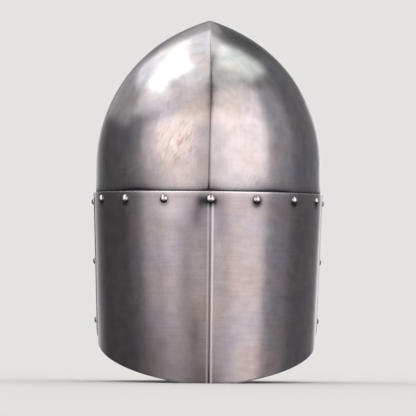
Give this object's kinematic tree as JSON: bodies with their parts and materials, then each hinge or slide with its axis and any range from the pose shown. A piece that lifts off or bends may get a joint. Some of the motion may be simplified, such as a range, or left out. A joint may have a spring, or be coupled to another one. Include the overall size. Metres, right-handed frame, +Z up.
{
  "type": "sugarloaf great helm",
  "caption": "Sugarloaf great helm in satin steel: a pointed, ridged crown riveted inside a back plate and a longer, pointed face plate cut with sights and breaths.",
  "frame": {"origin": "on the surface the helm rests on, under the middle of its outline; it rests on the blunt point of the face plate and the heel of the back plate, so its axis leans back 10.9 degrees", "axes": "+Z up, -Y towards the face, +Y towards the back of the head, +X towards the wearer's left"},
  "size_m": [0.2334, 0.3184, 0.3547],
  "materials": {
    "plate_steel": "mild steel plate, ground and satin polished, painted black inside",
    "rivet_steel": "mild steel rivet heads, polished domes"
  },
  "bodies": {
    "root": {"crown": "plate_steel", "back_plate": "plate_steel", "face_plate": "plate_steel", "back_rivet_1": "rivet_steel", "back_rivet_2": "rivet_steel", "back_rivet_3": "rivet_steel", "back_rivet_4": "rivet_steel", "back_rivet_5": "rivet_steel", "back_rivet_6": "rivet_steel", "back_rivet_7": "rivet_steel", "face_rivet_1": "rivet_steel", "face_rivet_2": "rivet_steel", "face_rivet_3": "rivet_steel", "face_rivet_4": "rivet_steel", "face_rivet_5": "rivet_steel", "face_rivet_6": "rivet_steel", "face_rivet_7": "rivet_steel", "left_seam_rivet_1": "rivet_steel", "left_seam_rivet_2": "rivet_steel", "left_seam_rivet_3": "rivet_steel", "right_seam_rivet_1": "rivet_steel", "right_seam_rivet_2": "rivet_steel", "right_seam_rivet_3": "rivet_steel"}
  },
  "joints": []
}
